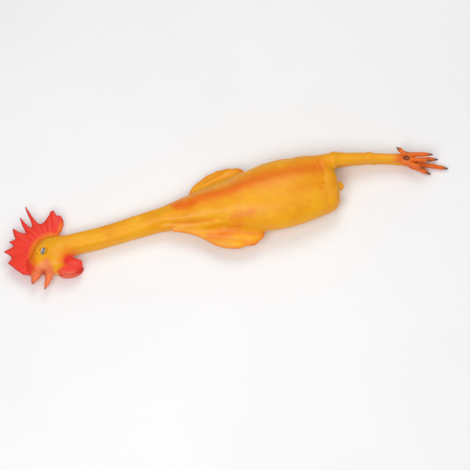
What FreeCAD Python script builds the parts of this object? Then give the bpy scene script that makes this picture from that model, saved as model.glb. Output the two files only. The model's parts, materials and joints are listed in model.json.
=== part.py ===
import FreeCAD, Part
import Sketcher
import math
import os

# Rubber chicken, lying on its right side on the floor.
# +X runs from the torso to the feet, the head is toward -X, +Z is up.
# The origin is the centre of the flat patch on which the torso rests.

Vector = FreeCAD.Vector
Placement = FreeCAD.Placement
Rotation = FreeCAD.Rotation

SIZES = {
    "skin": 2.2,                 # wall of the hollow latex casting
    "body_half_width": 50.5,     # widest part of the torso, across
    "body_half_height": 33.0,    # widest part of the torso, upright
    "neck_radius": 16.0,
    "neck_twist_ball": 13.2,
    "neck_setback": 12.0,        # rim to pivot, where the neck swings
    "twist_setback": 2.0,
    "head_setback": 13.5,
    "head_radius": 29.0,
    "head_half_thickness": 18.8,
    "muzzle_radius": 14.5,
    "thigh_root_radius": 15.0,
    "thigh_end_radius": 9.5,
    "drumstick_radius": 8.4,
    "drumstick_end_radius": 7.2,
    "hip_setback": 7.5,
    "shank_radius": 6.8,
    "shank_end_radius": 6.2,
    "hock_setback": 5.3,
    "ankle_ball": 5.8,
    "ankle_setback": 4.8,
    "palm_radius": 8.6,
    "palm_thickness": 8.0,
    "vent_half_length": 4.5,
    "vent_half_width": 3.5,
    "toe_radius": 3.6,
    "toe_end_radius": 2.7,
    "toe_clearance": 0.5,
    "claw_length": 8.0,
    "claw_tip_radius": 0.7,
    "comb_thickness": 5.0,
    "comb_beak_room": 12.4,
    "comb_gap": 0.8,
    "wing_thickness": 8.0,
    "wing_gap": 2.6,
    "jaw_gap": 2.4,
    "wattle_half_length": 18.5,
    "wattle_half_width": 9.0,
    "wattle_half_thickness": 2.8,
    "wattle_gap": 1.4,
    "eye_half_length": 5.8,
    "eye_half_width": 3.3,
    "eye_half_thickness": 2.4,
    "tail_radius": 9.0,
}

# Pivots of the neck, from the torso to the head.
NECK_BASE = Vector(-154, 4, 18)
NECK_LIFT = Vector(-200, 0, 17)
NECK_TWIST = Vector(-250, -5, 17)
HEAD_PIVOT = Vector(-299, -7, 19)
HEAD_CENTRE = Vector(-319, -18.4, 19.4)
MUZZLE_CENTRE = Vector(-342, -27, 19.4)
BEAK_ROOT = Vector(-346.5, -37.5, 19.4)
SKULL_TURNS = (-78, -52, -26, 0, 26, 52, 78)    # degrees from the middle ring to each ring

# Torso stations: x, y and z of the centre, then the half width and the
# half height as fractions of the largest ones.
TORSO = [
    (-142, 4.0, 19.2, 0.41, 0.55),
    (-128, 4.0, 21.0, 0.46, 0.61),
    (-104, 4.0, 24.0, 0.54, 0.70),
    (-70, 2.0, 27.0, 0.66, 0.83),
    (-35, 0.5, 30.0, 0.83, 0.94),
    (0, 0.5, 32.0, 0.99, 1.00),
    (33, 2.0, 32.0, 1.00, 1.00),
    (60, 2.5, 30.0, 0.91, 0.92),
    (83, 1.0, 27.0, 0.77, 0.80),
    (97, -1.0, 24.0, 0.58, 0.60),
    (104, -1.5, 24.0, 0.26, 0.27),
]

# Per leg: where the thigh leaves the torso, then hip, hock and ankle.
LEGS = {
    "left": [Vector(58, 34, 36), Vector(115.5, 37, 32), Vector(156, 33, 25), Vector(197, 24, 24)],
    "right": [Vector(58, 36, 20), Vector(123.5, 41, 11), Vector(165, 35, 8.5), Vector(210, 22, 7)],
}

# Per foot: reach of the palm's centre past the ankle, then per toe the
# direction of its root round the palm and the plan position of its tip.
PALM_REACH = 12.0
TOE_REACH = 11.4
FEET = {
    "left": {
        "inner": (42, (247, 18)),
        "middle": (0, (243, 9)),
        "outer": (-42, (231, 0)),
        "hind": (122, (198, 41)),
    },
    "right": {
        "inner": (42, (255, 16)),
        "middle": (0, (266, -1)),
        "outer": (-42, (240, -4)),
        "hind": (122, (212, 38)),
    },
}
FOOT_HEIGHT = {"left": 24.0, "right": 5.0}

COMB = [
    (-304, 8), (-294, 25), (-295, 38), (-303, 41), (-305, 49.5), (-316, 46), (-327, 34),
    (-343, 63.5), (-340.5, 33), (-353.5, 48.5), (-352, 24), (-367, 34), (-366.5, 18.5),
    (-376, 15), (-372.5, 8), (-385.5, 3), (-378.5, -9), (-384, -15), (-367, -37), (-357, -41),
    (-338, -20),
]

WINGS = {
    "left": [
        (-134, -22), (-126, -31), (-105, -34), (-86, -41), (-65, -54), (-44, -65),
        (-24, -66), (-14, -57), (-16, -30), (-110, -4),
    ],
    "right": [
        (-112, 20), (-108, 36), (-98, 46), (-77, 57), (-58, 60), (-40, 59), (-24, 53),
        (-16, 30), (-60, 14),
    ],
}
WING_HEIGHT = {"left": 25.0, "right": 21.0}

doc = FreeCAD.newDocument("rubber_chicken")
sheet = doc.addObject("Spreadsheet::Sheet", "sizes")
for line_number, (size_name, size_value) in enumerate(SIZES.items(), 1):
    sheet.set("A%d" % line_number, size_name)
    sheet.set("B%d" % line_number, str(size_value))
    sheet.setAlias("B%d" % line_number, size_name)
doc.recompute()

subparts = []


def add(kind, name, **expressions):
    """A document object whose properties follow the sheet."""
    thing = doc.addObject(kind, name)
    for prop, expression in expressions.items():
        thing.setExpression(prop.replace("__", "."), expression)
    return thing


def finish(thing, label):
    """Marks an object as one of the sub-parts that are written out."""
    thing.Label = label
    subparts.append(thing)
    return thing


def fuse(name, shapes):
    joined = doc.addObject("Part::MultiFuse", name)
    joined.Shapes = shapes
    return joined


def cut(name, base, tool):
    rest = doc.addObject("Part::Cut", name)
    rest.Base = base
    rest.Tool = tool
    return rest


def along(start, end):
    """Placement at start whose Z axis points to end."""
    return Placement(start, Rotation(Vector(0, 0, 1), end - start))


def sphere(name, centre, radius, seam=0):
    """A ball whose seam faces the given bearing, away from what it joins."""
    thing = add("Part::Sphere", name, Radius=radius)
    thing.Placement = Placement(centre, Rotation(Vector(0, 0, 1), seam))
    return thing


def ellipsoid(name, centre, long_half, wide_half, thick_half, turn=0):
    """Long half axis along X before the turn about Z, thick one along Z."""
    thing = add("Part::Ellipsoid", name, Radius1=thick_half, Radius2=long_half, Radius3=wide_half)
    thing.Placement = Placement(centre, Rotation(Vector(0, 0, 1), turn))
    return thing


def new_sketch(body, name, role):
    """A sketch laid on one of the body's own origin planes."""
    plane = [item for item in body.Origin.OriginFeatures if item.Role == role][0]
    sketch = body.newObject("Sketcher::SketchObject", name)
    sketch.AttachmentSupport = [(plane, "")]
    sketch.MapMode = "FlatFace"
    return sketch


def skull_loft(name, centre, across, upright):
    """A flattened ball lofted through upright rings along X, its half axes
    given as expressions."""
    sections = []
    for number, turn in enumerate(SKULL_TURNS):
        share, shift = math.cos(math.radians(turn)), math.sin(math.radians(turn))
        ring = add("Part::Ellipse", "%s_ring_%d" % (name, number),
                   MajorRadius="(%s) * %.4f" % (across, share),
                   MinorRadius="(%s) * %.4f" % (upright, share))
        ring.Placement = Placement(centre, Rotation(Vector(1, 1, 1), 120))
        ring.setExpression(".Placement.Base.x", "%.3f + (%s) * %.4f" % (centre.x, across, shift))
        sections.append(ring)
    loft = doc.addObject("Part::Loft", name)
    loft.Sections = sections
    loft.Solid = True
    return loft


def hollow_segment(label, start, end, start_radius, end_radius, setback, ball=None):
    """A hollow tube with a domed start on its pivot and an open rim that
    stops short of the next pivot by the setback."""
    length = (end - start).Length
    height = "%.3f - sizes.%s" % (length, setback)
    if ball is None:
        ball = start_radius
    dome = add("Part::Sphere", label + "_dome", Radius="sizes." + ball)
    tube = add("Part::Cone", label + "_tube", Radius1="sizes." + start_radius,
               Radius2="sizes." + end_radius, Height=height)
    air_dome = add("Part::Sphere", label + "_air_dome", Radius="sizes.%s - sizes.skin" % ball)
    air = add("Part::Cone", label + "_air", Radius1="sizes.%s - sizes.skin" % ball,
              Radius2="sizes.%s - sizes.skin" % end_radius, Height=height + " + 1")
    body = cut(label + "_casting", fuse(label + "_solid", [dome, tube]),
               fuse(label + "_inside", [air_dome, air]))
    body.Placement = along(start, end)
    return finish(body, label)


def torso_loft(name, grow, open_by, end_by):
    """Loft through the torso stations, grown or shrunk by an expression."""
    sections = []
    last = len(TORSO) - 1
    for number, (x, y, z, wide, high) in enumerate(TORSO):
        ring = add("Part::Ellipse", "%s_ring_%d" % (name, number),
                   MajorRadius="sizes.body_half_width * %.3f + %s" % (wide, grow),
                   MinorRadius="sizes.body_half_height * %.3f + %s" % (high, grow))
        shift = -open_by if number == 0 else end_by if number == last else 0
        ring.Placement = Placement(Vector(x + shift, y, z), Rotation(Vector(1, 1, 1), 120))
        sections.append(ring)
    loft = doc.addObject("Part::Loft", name)
    loft.Sections = sections
    loft.Solid = True
    return loft


def thigh_end(leg):
    """Centre of the rim that the drumstick's ball sits in."""
    _, hip, hock, _ = LEGS[leg]
    back = hip - hock
    back.normalize()
    return hip + back * SIZES["hip_setback"]


def thigh(name, leg, thinner, longer):
    """A rounded haunch and the tapered root that runs from it to the hip."""
    start = LEGS[leg][0]
    end = thigh_end(leg)
    cone = add("Part::Cone", name, Radius1="sizes.thigh_root_radius - " + thinner,
               Radius2="sizes.thigh_end_radius - " + thinner,
               Height="%.3f + %s" % ((end - start).Length, longer))
    cone.Placement = along(start, end)
    return [cone, sphere(name + "_haunch", start, "sizes.thigh_root_radius - " + thinner)]


def make_torso():
    """The hollow body with two thigh roots and a flat patch underneath."""
    outer = torso_loft("torso_outside", "0", 0, 0)
    inner = torso_loft("torso_inside", "-sizes.skin", 1, -2.4)
    thighs = []
    bores = []
    for leg in LEGS:
        thighs += thigh("thigh_" + leg, leg, "0", "0")
        bores += thigh("thigh_air_" + leg, leg, "sizes.skin", "1")
    floor = doc.addObject("Part::Box", "floor_cut")
    floor.Length = 400
    floor.Width = 200
    floor.Height = 20
    floor.Placement = Placement(Vector(-200, -100, -20), Rotation())
    body = cut("torso_casting", fuse("torso_solid", [outer] + thighs),
               fuse("torso_air", [inner, floor] + bores))
    finish(body, "torso")
    nub = ellipsoid("tail_round", Vector(99.5, -1.5, 25), "sizes.tail_radius",
                    "sizes.tail_radius * 0.9", "sizes.tail_radius * 0.8")
    finish(cut("tail_cast", nub, torso_loft("tail_seat", "0", 0, 0)), "tail_nub")


def make_neck():
    hollow_segment("neck_lower", NECK_BASE, NECK_LIFT, "neck_radius", "neck_radius", "neck_setback")
    hollow_segment("neck_middle", NECK_LIFT, NECK_TWIST, "neck_radius", "neck_radius", "twist_setback")
    hollow_segment("neck_upper", NECK_TWIST, HEAD_PIVOT, "neck_radius", "neck_radius",
                   "head_setback", ball="neck_twist_ball")


def head_form(name, grow):
    """The outside of the head, grown or shrunk by an expression."""
    skull = skull_loft(name + "_skull", HEAD_CENTRE, "sizes.head_radius + " + grow,
                     "sizes.head_half_thickness + " + grow)
    muzzle = sphere(name + "_muzzle", MUZZLE_CENTRE, "sizes.muzzle_radius + " + grow, 200)
    nape = sphere(name + "_nape", HEAD_PIVOT, "sizes.neck_radius - 0.5 + " + grow)
    return fuse(name, [skull, muzzle, nape])


def make_head():
    finish(cut("head_casting", head_form("head_outside", "0"), head_form("head_air", "-sizes.skin")),
           "head_shell")
    turns = {"left": 1, "right": -1}
    for side, sign in turns.items():
        centre = Vector(-331.5, -13.5, HEAD_CENTRE.z + sign * 16.0)
        bead = ellipsoid("eye_bead_" + side, centre, "sizes.eye_half_length", "sizes.eye_half_width",
                         "sizes.eye_half_thickness", 59)
        finish(cut("eye_seat_" + side, bead, head_form("eye_bed_" + side, "0")), "eye_" + side)


def beak_loft(name, rings):
    """Loft through upright ellipses: centre x and y, half length, half width."""
    sections = []
    for number, (x, y, long_half, wide_half) in enumerate(rings):
        ring = doc.addObject("Part::Ellipse", "%s_ring_%d" % (name, number))
        ring.MajorRadius = max(long_half, wide_half)
        ring.MinorRadius = min(long_half, wide_half)
        ring.Placement = Placement(Vector(x, y, HEAD_CENTRE.z), Rotation(Vector(1, 0, 0), 90))
        sections.append(ring)
    loft = doc.addObject("Part::Loft", name)
    loft.Sections = sections
    loft.Solid = True
    return loft


def make_beaks():
    upper = beak_loft("upper_beak_horn", [(-346, -33, 10.5, 8.5), (-347.5, -41, 9, 7), (-351.5, -48, 5, 4.5),
                                          (-355, -53, 1.4, 1.2)])
    finish(cut("upper_beak_cast", upper, head_form("upper_beak_bed", "0")), "upper_beak")
    lower = beak_loft("lower_beak_horn", [(-327.5, -38, 7, 6), (-330.5, -47, 6, 5.5), (-334.5, -57, 4, 3.5),
                                          (-339, -65, 1.3, 1.2)])
    finish(cut("lower_beak_cast", lower, head_form("lower_beak_bed", "sizes.jaw_gap")), "lower_beak")


def plate(name, outline, height, thickness):
    """A PartDesign body: a flat outline padded evenly about its plane."""
    body = doc.addObject("PartDesign::Body", name)
    sketch = new_sketch(body, name + "_outline", "XY_Plane")
    corners = [Vector(x, y, 0) for x, y in outline]
    for first, second in zip(corners, corners[1:] + corners[:1]):
        sketch.addGeometry(Part.LineSegment(first, second))
    pad = body.newObject("PartDesign::Pad", name + "_pad")
    pad.Profile = sketch
    pad.setExpression("Length", thickness)
    pad.Midplane = True
    body.Tip = pad
    sketch.Visibility = False
    body.Placement = Placement(Vector(0, 0, height), Rotation())
    return body


def make_comb():
    blade = plate("comb_blade", COMB, HEAD_CENTRE.z, "sizes.comb_thickness")
    beak_room = sphere("comb_beak_room", BEAK_ROOT, "sizes.comb_beak_room")
    bed = fuse("comb_bed", [head_form("comb_head_bed", "sizes.comb_gap"), beak_room])
    finish(cut("comb_cast", blade, bed), "comb")


def make_wattles():
    for side, sign in {"left": 1, "right": -1}.items():
        centre = Vector(-297.5, -46, HEAD_CENTRE.z + sign * 6.0)
        lobe = ellipsoid("wattle_lobe_" + side, centre, "sizes.wattle_half_length",
                         "sizes.wattle_half_width", "sizes.wattle_half_thickness", 4)
        bed = head_form("wattle_bed_" + side, "sizes.wattle_gap")
        finish(cut("wattle_cast_" + side, lobe, bed), "wattle_" + side)


def make_wings():
    for side, outline in WINGS.items():
        flap = plate("wing_flap_" + side, outline, WING_HEIGHT[side], "sizes.wing_thickness")
        bed = torso_loft("wing_bed_" + side, "sizes.wing_gap", 20, 10)
        finish(cut("wing_cast_" + side, flap, bed), "wing_" + side)


def make_legs():
    for side, (_, hip, hock, ankle) in LEGS.items():
        hollow_segment("drumstick_" + side, hip, hock, "drumstick_radius", "drumstick_end_radius",
                       "hock_setback")
        hollow_segment("shank_" + side, hock, ankle, "shank_radius", "shank_end_radius",
                       "ankle_setback")


def heading(side):
    """Angle in plan of the foot, from the ankle toward the middle toe's tip."""
    ankle = LEGS[side][3]
    tip = FEET[side]["middle"][1]
    return math.atan2(tip[1] - ankle.y, tip[0] - ankle.x)


def palm_centre(side):
    ankle = LEGS[side][3]
    angle = heading(side)
    return Vector(ankle.x + PALM_REACH * math.cos(angle), ankle.y + PALM_REACH * math.sin(angle),
                  FOOT_HEIGHT[side])


def toe_line(side, toe):
    """Root pivot and tip of one toe."""
    bearing, tip = FEET[side][toe]
    angle = heading(side) + math.radians(bearing)
    root = palm_centre(side) + Vector(math.cos(angle), math.sin(angle), 0) * TOE_REACH
    return root, Vector(tip[0], tip[1], FOOT_HEIGHT[side])


def disc_body(name, radius, thickness):
    """A PartDesign disc padded evenly about its plane."""
    body = doc.addObject("PartDesign::Body", name)
    rim = new_sketch(body, name + "_rim", "XY_Plane")
    rim.addGeometry(Part.Circle(Vector(0, 0, 0), Vector(0, 0, 1), SIZES["palm_radius"]))
    rim.addConstraint(Sketcher.Constraint("Radius", 0, SIZES["palm_radius"]))
    rim.setExpression("Constraints[0]", radius)
    pad = body.newObject("PartDesign::Pad", name + "_pad")
    pad.Profile = rim
    pad.setExpression("Length", thickness)
    pad.Midplane = True
    body.Tip = pad
    return body


def make_foot(side):
    centre = palm_centre(side)
    ankle = LEGS[side][3]
    disc = disc_body("palm_disc_" + side, "sizes.palm_radius", "sizes.palm_thickness")
    disc.Placement = Placement(centre, Rotation(Vector(0, 0, 1), math.degrees(heading(side))))
    ball = sphere("palm_ball_" + side, ankle, "sizes.ankle_ball", math.degrees(heading(side)) + 180)
    mouth = add("Part::Ellipse", "vent_mouth_" + side, MajorRadius="sizes.vent_half_length",
                MinorRadius="sizes.vent_half_width")
    mouth.Placement = Placement(centre, Rotation(Vector(0, 0, 1), math.degrees(heading(side))))
    vent = add("Part::Extrusion", "vent_" + side, LengthFwd="sizes.palm_thickness")
    vent.Base = mouth
    vent.Dir = Vector(0, 0, 1)
    vent.Solid = True
    sockets = []
    for toe in FEET[side]:
        root, _ = toe_line(side, toe)
        sockets.append(sphere("socket_%s_%s" % (side, toe), root,
                              "sizes.toe_radius + sizes.toe_clearance"))
    palm = cut("palm_cast_" + side, fuse("palm_solid_" + side, [disc, ball]),
               fuse("palm_spaces_" + side, [vent] + sockets))
    finish(palm, "palm_" + side)
    for toe in FEET[side]:
        make_toe(side, toe)


def make_toe(side, toe):
    """A tapered toe with a ball on its root, and the claw at its end."""
    root, tip = toe_line(side, toe)
    label = "toe_%s_%s" % (side, toe)
    length = (tip - root).Length
    toe_length = "%.3f - sizes.claw_length" % length
    ball = add("Part::Sphere", label + "_ball", Radius="sizes.toe_radius")
    shaft = add("Part::Cone", label + "_shaft", Radius1="sizes.toe_radius",
                Radius2="sizes.toe_end_radius", Height=toe_length)
    body = fuse(label + "_cast", [ball, shaft])
    body.Placement = along(root, tip)
    finish(body, label)
    claw_label = "claw_%s_%s" % (side, toe)
    spike = add("Part::Cone", claw_label + "_spike", Radius1="sizes.toe_end_radius",
                Radius2="sizes.claw_tip_radius", Height="sizes.claw_length")
    direction = (tip - root) * (1 / length)
    spike.Placement = along(tip - direction * SIZES["claw_length"], tip)
    finish(spike, claw_label)


def write_parts():
    doc.recompute()
    for thing in doc.Objects:
        if "Invalid" in thing.State or "Error" in thing.State:
            raise RuntimeError("%s did not compute: %s" % (thing.Label, thing.State))
    os.makedirs("parts", exist_ok=True)
    for thing in subparts:
        shape = thing.Shape
        if shape.isNull() or not shape.isValid() or shape.Volume < 1:
            raise RuntimeError("%s has no valid shape" % thing.Label)
        shape.exportStep("parts/%s.step" % thing.Label)
        print("%-20s %9.0f mm3 %d solid(s)" % (thing.Label, shape.Volume, len(shape.Solids)))


make_torso()
make_neck()
make_head()
make_beaks()
make_comb()
make_wattles()
make_wings()
make_legs()
for foot_side in FEET:
    make_foot(foot_side)
write_parts()
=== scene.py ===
import json
import math
from functools import partial

import bpy
import numpy as np
from bpy.props import FloatProperty, FloatVectorProperty, PointerProperty
from mathutils import Matrix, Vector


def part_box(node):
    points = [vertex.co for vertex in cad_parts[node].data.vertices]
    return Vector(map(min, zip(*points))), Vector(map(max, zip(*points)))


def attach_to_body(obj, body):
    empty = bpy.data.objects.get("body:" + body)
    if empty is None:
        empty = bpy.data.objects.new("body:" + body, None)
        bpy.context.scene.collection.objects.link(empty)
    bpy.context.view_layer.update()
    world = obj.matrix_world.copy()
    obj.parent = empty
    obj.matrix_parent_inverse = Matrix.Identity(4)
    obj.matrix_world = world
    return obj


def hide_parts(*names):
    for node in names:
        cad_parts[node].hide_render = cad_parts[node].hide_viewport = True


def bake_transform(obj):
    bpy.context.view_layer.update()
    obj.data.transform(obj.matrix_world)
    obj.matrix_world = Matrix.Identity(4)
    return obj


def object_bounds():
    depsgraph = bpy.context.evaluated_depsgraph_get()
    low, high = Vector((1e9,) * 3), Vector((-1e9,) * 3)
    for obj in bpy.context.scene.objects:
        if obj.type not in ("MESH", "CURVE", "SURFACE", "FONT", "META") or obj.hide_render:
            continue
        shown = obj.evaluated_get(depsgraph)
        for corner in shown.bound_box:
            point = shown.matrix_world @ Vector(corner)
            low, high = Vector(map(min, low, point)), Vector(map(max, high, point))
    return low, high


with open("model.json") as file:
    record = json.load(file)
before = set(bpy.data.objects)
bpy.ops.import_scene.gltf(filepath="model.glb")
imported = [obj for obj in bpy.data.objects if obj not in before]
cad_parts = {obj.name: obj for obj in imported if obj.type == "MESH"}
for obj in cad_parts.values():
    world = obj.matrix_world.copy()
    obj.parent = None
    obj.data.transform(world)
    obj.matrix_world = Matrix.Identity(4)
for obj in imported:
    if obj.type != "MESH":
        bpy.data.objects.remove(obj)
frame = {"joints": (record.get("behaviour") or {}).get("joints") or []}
CAD_BOX = [tuple(corner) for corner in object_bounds()]

bl_info = {
    "name": "Rubber chicken",
    "version": (1, 0, 0),
    "blender": (4, 5, 0),
    "location": "3D View > Sidebar > Rubber chicken",
    "description": "Builds a limp, airbrushed latex chicken round its jointed frame",
    "category": "Object",
}

MM = 0.001
SIDES = ("left", "right")
TOES = ("inner", "middle", "outer", "hind")
JOINTS = {joint["name"]: joint for joint in frame["joints"]}


# ---- places

def pivot(name):
    """A joint's place in millimetres."""
    return np.array(JOINTS[name]["pos_m"]) / MM


def hinge_axis(name):
    """The unit vector that a joint turns about."""
    return np.array(JOINTS[name]["axis"], float)


def box_mm(node):
    """A node's lowest and highest corners in millimetres."""
    low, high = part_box(node)
    return np.array(low) / MM, np.array(high) / MM


def centre_mm(node):
    low, high = box_mm(node)
    return (low + high) / 2


def unit(vector):
    return np.asarray(vector, float) / np.linalg.norm(vector)


NECK = [pivot("neck_base_swing"), pivot("neck_lift"), pivot("neck_twist"), pivot("head_nod")]
HEAD = NECK[3]
SKULL = HEAD + (-20.0, -11.4, 0.4)
MUZZLE = HEAD + (-43.0, -20.5, 0.4)
CLAW_LENGTH = 8.0
PALM_SHARE = 0.513      # of the way from the ankle to the middle toe's root
FAR = 99.0              # stands for the distance where a shape isn't worked out


def leg_points(side):
    """Hip, hock and ankle."""
    return [pivot("%s_%s_%s" % (part, side, move)) for part, move in
            (("hip", "swing"), ("hock", "bend"), ("ankle", "bend"))]


def toe_points(side, toe):
    """Root and tip of one toe, the tip from its claw's box."""
    root = pivot("toe_%s_%s_curl" % (side, toe))
    claw = centre_mm("claw_%s_%s" % (side, toe))
    way = unit(claw - root)
    return root, claw + way * CLAW_LENGTH / 2


LEGS = {side: leg_points(side) for side in SIDES}
TOE_ENDS = {(side, toe): toe_points(side, toe) for side in SIDES for toe in TOES}


def palm_centre(side):
    """The middle of the palm, as high as its toes' roots."""
    ankle = LEGS[side][2]
    root = TOE_ENDS[side, "middle"][0]
    return np.array([*(ankle + (root - ankle) * PALM_SHARE)[:2], root[2]])


PALMS = {side: palm_centre(side) for side in SIDES}


# ---- distances
# Every shape is a function of points (n, 3) in millimetres that gives the
# distance to its surface, negative inside.

def smooth_min(a, b, k):
    """The smaller of two distances, with a parabola k wide where they cross."""
    h = np.clip(0.5 + 0.5 * (b - a) / k, 0, 1)
    return b + (a - b) * h - k * h * (1 - h)


def smooth_max(a, b, k):
    """The larger of two distances, rounded the same way."""
    return -smooth_min(-a, -b, k)


def step(x, start, end):
    """0 up to start, 1 from end, and 3 t squared less 2 t cubed between them."""
    t = np.clip((x - start) / (end - start), 0, 1)
    return t * t * (3 - 2 * t)


def curve(x, knots, values):
    """Cubic Hermite curve through the knots, flat beyond them."""
    slopes = np.gradient(values, knots)
    i = np.clip(np.searchsorted(knots, x) - 1, 0, len(knots) - 2)
    gap = knots[i + 1] - knots[i]
    t = np.clip((x - knots[i]) / gap, 0, 1)
    a = (1 + 2 * t) * (1 - t) ** 2 * values[i]
    b = t * (1 - t) ** 2 * gap * slopes[i]
    c = t * t * (3 - 2 * t) * values[i + 1]
    d = t * t * (t - 1) * gap * slopes[i + 1]
    return a + b + c + d


def ball(p, centre, half, turn=0.0):
    """Ellipsoid with half axes, turned about Z by degrees: the share of the
    half axes less 1, scaled by how fast that share grows."""
    q = p - centre
    c, s = math.cos(math.radians(turn)), math.sin(math.radians(turn))
    q = np.stack([q[:, 0] * c + q[:, 1] * s, q[:, 1] * c - q[:, 0] * s, q[:, 2]], 1)
    half = np.asarray(half, float)
    near = np.linalg.norm(q / half, axis=1) + 1e-6
    slope = np.linalg.norm(q / half ** 2, axis=1) + 1e-6
    return near * (near - 1) / slope


def from_line(p, a, b):
    """The share of the way along a line of its point nearest to each point,
    and the offset from there."""
    way = b - a
    t = np.clip((p - a) @ way / (way @ way), 0, 1)
    return t, p - a - t[:, None] * way


def rod(p, a, b, ra, rb, flat=1.0, bulge=0.0):
    """Capsule whose radius runs from ra to rb, thinner upright by flat,
    with a bulge at its middle."""
    t, q = from_line(p, a, b)
    q[:, 2] *= flat
    size = np.linalg.norm(q, axis=1) + 1e-6
    grow = q.copy()
    grow[:, 2] *= flat
    radius = ra + t * (rb - ra) + bulge * np.sin(np.pi * t)
    return (size - radius) * size / (np.linalg.norm(grow, axis=1) + 1e-6)


def polyline(p, points):
    """Distance to a chain of straight lines."""
    best = np.full(len(p), np.inf)
    for a, b in zip(points[:-1], points[1:]):
        best = np.minimum(best, np.linalg.norm(from_line(p, a, b)[1], axis=1))
    return best


def outline(p, corners):
    """Distance in plan to the nearest side of a closed outline, negative
    where a ray from the point crosses an odd number of sides."""
    best = np.full(len(p), np.inf)
    sign = np.ones(len(p))
    previous = np.roll(corners, 1, axis=0)
    for a, b in zip(corners, previous):
        edge = b - a
        w = p[:, :2] - a
        t = np.clip((w @ edge) / (edge @ edge), 0, 1)
        best = np.minimum(best, np.sum((w - t[:, None] * edge) ** 2, axis=1))
        above = p[:, 1] >= a[1]
        below = p[:, 1] < b[1]
        turn = edge[0] * w[:, 1] > edge[1] * w[:, 0]
        crossed = (above & below & turn) | (~above & ~below & ~turn)
        sign = np.where(crossed, -sign, sign)
    return sign * np.sqrt(best)


def rounded(corners, times=2):
    """Chaikin's corner cutting of a closed outline."""
    for _ in range(times):
        ahead = np.roll(corners, -1, axis=0)
        pairs = np.stack([corners * 0.75 + ahead * 0.25, corners * 0.25 + ahead * 0.75], 1)
        corners = pairs.reshape(-1, 2)
    return corners


def slab(flat, lift, half, radius):
    """An outline's distance given a thickness, with rounded edges."""
    a = flat + radius
    b = np.abs(lift) - half + radius
    outside = np.hypot(np.maximum(a, 0), np.maximum(b, 0))
    return np.minimum(np.maximum(a, b), 0) + outside - radius


RIPPLE_WAVES = 6


def ripple(p, size, seed):
    """Smooth seeded lumps of about the given size, from -1 to 1: the mean of
    some plane sine waves in random directions."""
    rng = np.random.default_rng(seed)
    total = np.zeros(len(p))
    for _ in range(RIPPLE_WAVES):
        way = unit(rng.normal(size=3)) * 2 * math.pi / size * rng.uniform(0.7, 1.4)
        total += np.sin(p @ way + rng.uniform(0, 2 * math.pi))
    return total / RIPPLE_WAVES


# ---- the torso and neck

# Stations from the neck's base: along, across, up, half width, half height.
BODY = np.array([
    (-160, -13.0, 1.0, 14.5, 14.0), (-145, -11.0, 1.0, 15.2, 15.2), (-121, -10.0, 0.0, 15.4, 15.4),
    (-96, -9.0, -0.5, 15.8, 15.8), (-71, -6.3, -0.8, 16.0, 16.0), (-46, -3.7, -0.8, 16.3, 16.2),
    (-23, -1.8, -0.4, 16.8, 16.4), (0, -0.4, 0.3, 18.0, 17.0), (12, 0.0, 1.2, 20.0, 18.0),
    (26, 0.0, 3.0, 22.8, 20.0), (50, 0.0, 6.0, 27.3, 23.2), (84, -2.0, 9.0, 33.5, 27.4),
    (119, -3.5, 12.0, 42.0, 31.0), (154, -3.5, 14.0, 49.8, 33.0), (187, -2.0, 14.0, 50.5, 33.0),
    (214, -1.5, 12.0, 46.4, 30.6), (237, -3.0, 9.0, 39.5, 27.0),
])
RUMP_START, RUMP_END = 230.0, 258.0
RUMP_POWER = 2.8


def body_frame(x):
    """Centre and half sizes of the torso and neck at each x: a curve through
    the stations, closed at the rump by a superellipse."""
    along = x - NECK[0][0]
    y = curve(along, BODY[:, 0], BODY[:, 1]) + NECK[0][1]
    z = curve(along, BODY[:, 0], BODY[:, 2]) + NECK[0][2]
    close = np.clip((along - RUMP_START) / (RUMP_END - RUMP_START), 0, 0.999)
    shut = (1 - close ** RUMP_POWER) ** (1 / RUMP_POWER)
    wide, high = (curve(along, BODY[:, 0], BODY[:, column]) * shut for column in (3, 4))
    return y, z, wide, high


def body_share(p):
    """How far out a point is as a share of the half sizes: 1 on the skin."""
    y, z, wide, high = body_frame(p[:, 0])
    return np.hypot((p[:, 1] - y) / wide, (p[:, 2] - z) / high)


def body_distance(p):
    """The share of the half size, divided by how fast it changes, closed
    off at the head and at the rump."""
    h = 0.25
    along = p[:, 0] - NECK[0][0]
    held = p.copy()
    held[:, 0] = NECK[0][0] + np.minimum(along, RUMP_END - 1.5)
    share = body_share(held)
    slope = np.zeros(len(p))
    for axis in range(3):
        q = held.copy()
        q[:, axis] -= h
        slope += ((share - body_share(q)) / h) ** 2
    near = (share - 1) / (np.sqrt(slope) + 1e-6)
    near = smooth_max(near, BODY[0, 0] + 4.0 - along, 6)
    return smooth_max(near, along - RUMP_END + 1.0, 3)


# ---- head

EYES = {1: centre_mm("eye_left"), -1: centre_mm("eye_right")}
EYE_TURN = 59.0
SKULL_HALF = (29.0, 28.4, 18.8)
MUZZLE_HALF, MUZZLE_TURN = (17.0, 14.5, 13.5), 30.0
SOCKET_HALF = (8.2, 5.6, 3.0)
BROW_HALF, BROW_TURN = (7.5, 2.6, 2.4), 48.0
CHEEK_HALF, CHEEK_TURN = (14.0, 9.0, 8.0), -15.0
NOSTRIL_HALF, NOSTRIL_TURN = (1.8, 1.0, 1.5), 60.0


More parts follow.
